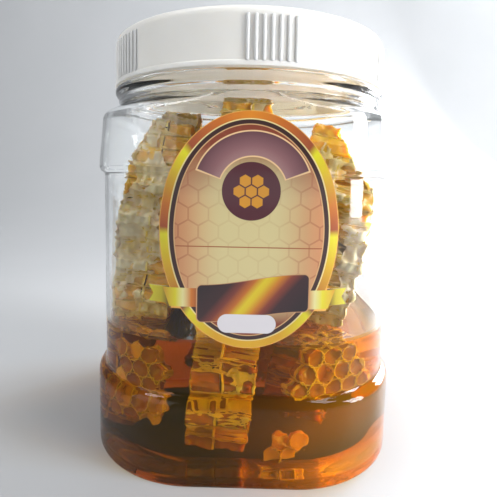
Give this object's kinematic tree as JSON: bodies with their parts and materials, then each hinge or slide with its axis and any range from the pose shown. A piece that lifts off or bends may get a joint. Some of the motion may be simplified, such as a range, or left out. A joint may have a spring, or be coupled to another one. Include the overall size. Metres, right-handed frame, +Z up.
{
  "type": "jar of honeycomb in honey",
  "caption": "Square clear plastic jar with rounded corners, a wide white screw lid and an oval front label, filled with slabs of honeycomb standing in honey.",
  "frame": {"origin": "middle of the jar's foot, on the surface that it stands on", "axes": "+Z up through the lid, -Y out of the front with the label, +X to the right of someone who faces the label"},
  "size_m": [0.0944, 0.0944, 0.1264],
  "materials": {
    "clear_plastic": "clear blown PET, glossy",
    "white_plastic": "moulded polypropylene, semi-gloss",
    "printed_paper": "printed, laminated, glossy",
    "beeswax": "pale translucent wax, wet with honey",
    "honey": "clear amber liquid"
  },
  "bodies": {
    "root": {"jar": "clear_plastic", "lid": "white_plastic", "label": "printed_paper", "comb_left": "beeswax", "comb_centre": "beeswax", "comb_right": "beeswax", "comb_back": "beeswax", "comb_low_left": "beeswax", "comb_low_right": "beeswax", "comb_bit_low": "beeswax"}
  },
  "joints": []
}
